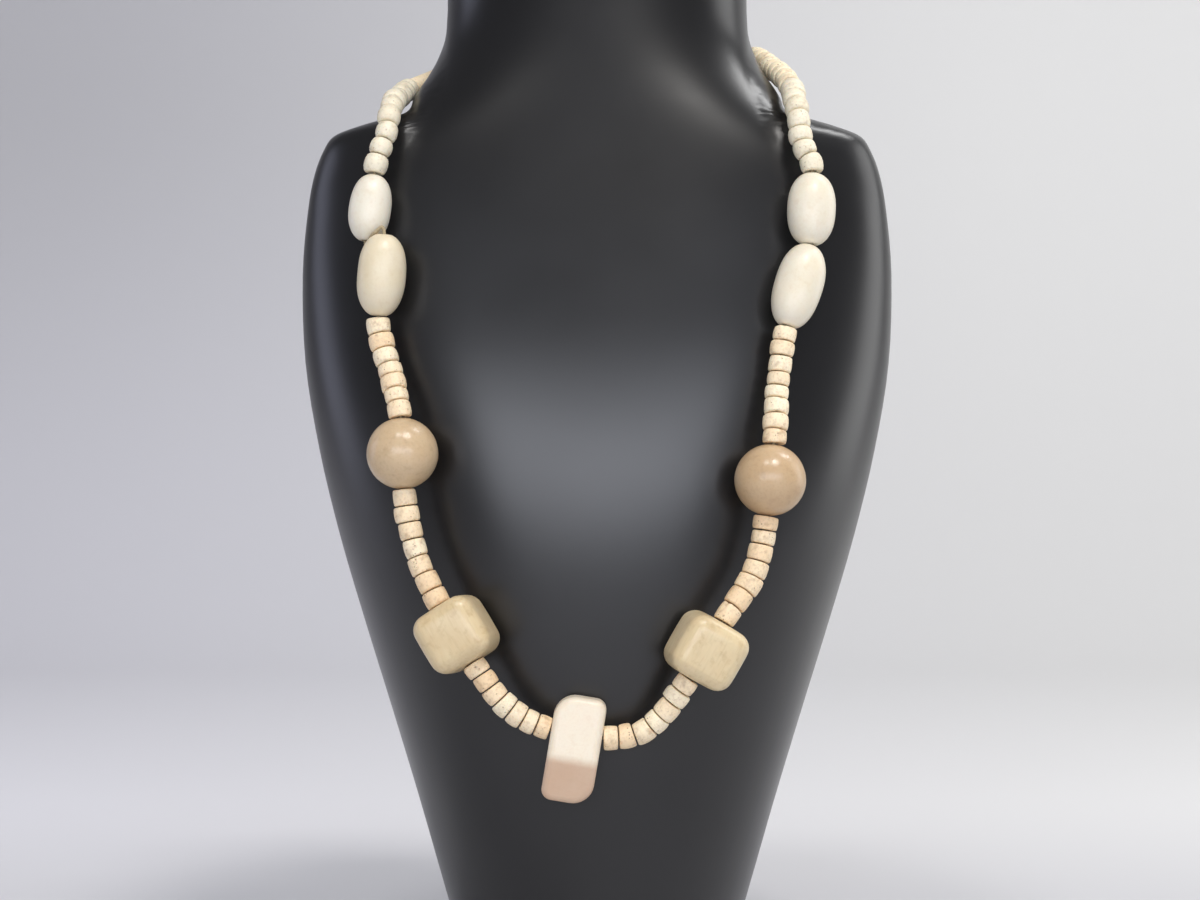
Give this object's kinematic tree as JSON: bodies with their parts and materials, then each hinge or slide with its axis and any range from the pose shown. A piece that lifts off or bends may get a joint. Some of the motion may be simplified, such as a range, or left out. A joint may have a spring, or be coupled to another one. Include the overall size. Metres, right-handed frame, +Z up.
{
  "type": "beaded necklace on a neck bust",
  "caption": "Long necklace of natural bone beads, with round, cube, oval and disc beads and a bar pendant, worn by a plain black neck bust that stands on its flat base.",
  "frame": {"origin": "centre of the bust's flat base, on the surface it stands on", "axes": "+Z up through the neck, -Y out of the chest towards a viewer, +X to the viewer's right"},
  "size_m": [0.2024, 0.149, 0.36],
  "materials": {
    "bust_shell": "black, satin",
    "ivory_bone": "cream bone, smooth polish",
    "tan_bone": "tan bone, high polish",
    "disc_bone": "cream and tan bone, tumbled matt",
    "thread": "waxed cotton"
  },
  "bodies": {
    "root": {"neck_bust": "bust_shell", "pendant_bead": "ivory_bone", "cube_right": "tan_bone", "cube_left": "tan_bone", "round_right": "tan_bone", "round_left": "tan_bone", "oval_right_low": "ivory_bone", "oval_right_high": "ivory_bone", "oval_left_high": "ivory_bone", "oval_left_low": "ivory_bone", "tube_bead_left": "disc_bone", "disc_left_low_1": "disc_bone", "disc_left_low_2": "disc_bone", "disc_left_low_3": "disc_bone", "disc_left_low_4": "disc_bone", "disc_left_low_5": "disc_bone", "disc_left_low_6": "disc_bone", "disc_left_low_7": "disc_bone", "disc_left_mid_1": "disc_bone", "disc_left_mid_2": "disc_bone", "disc_left_mid_3": "disc_bone", "disc_left_mid_4": "disc_bone", "disc_left_mid_5": "disc_bone", "disc_left_mid_6": "disc_bone", "disc_left_mid_7": "disc_bone", "disc_right_low_1": "disc_bone", "disc_right_low_2": "disc_bone", "disc_right_low_3": "disc_bone", "disc_right_low_4": "disc_bone", "disc_right_low_5": "disc_bone", "disc_right_low_6": "disc_bone", "disc_right_low_7": "disc_bone", "disc_right_mid_1": "disc_bone", "disc_right_mid_2": "disc_bone", "disc_right_mid_3": "disc_bone", "disc_right_mid_4": "disc_bone", "disc_right_mid_5": "disc_bone", "disc_right_mid_6": "disc_bone", "disc_right_mid_7": "disc_bone", "strand_back_left": "disc_bone", "strand_back_middle": "disc_bone", "strand_back_right": "disc_bone", "strand_left_shoulder": "disc_bone", "strand_left_upper": "disc_bone", "strand_right_neck": "disc_bone", "strand_right_shoulder": "disc_bone", "strand_right_upper": "disc_bone", "thread_front": "thread", "thread_left_ovals": "thread", "thread_left_tube": "thread", "thread_right_ovals": "thread"}
  },
  "joints": []
}
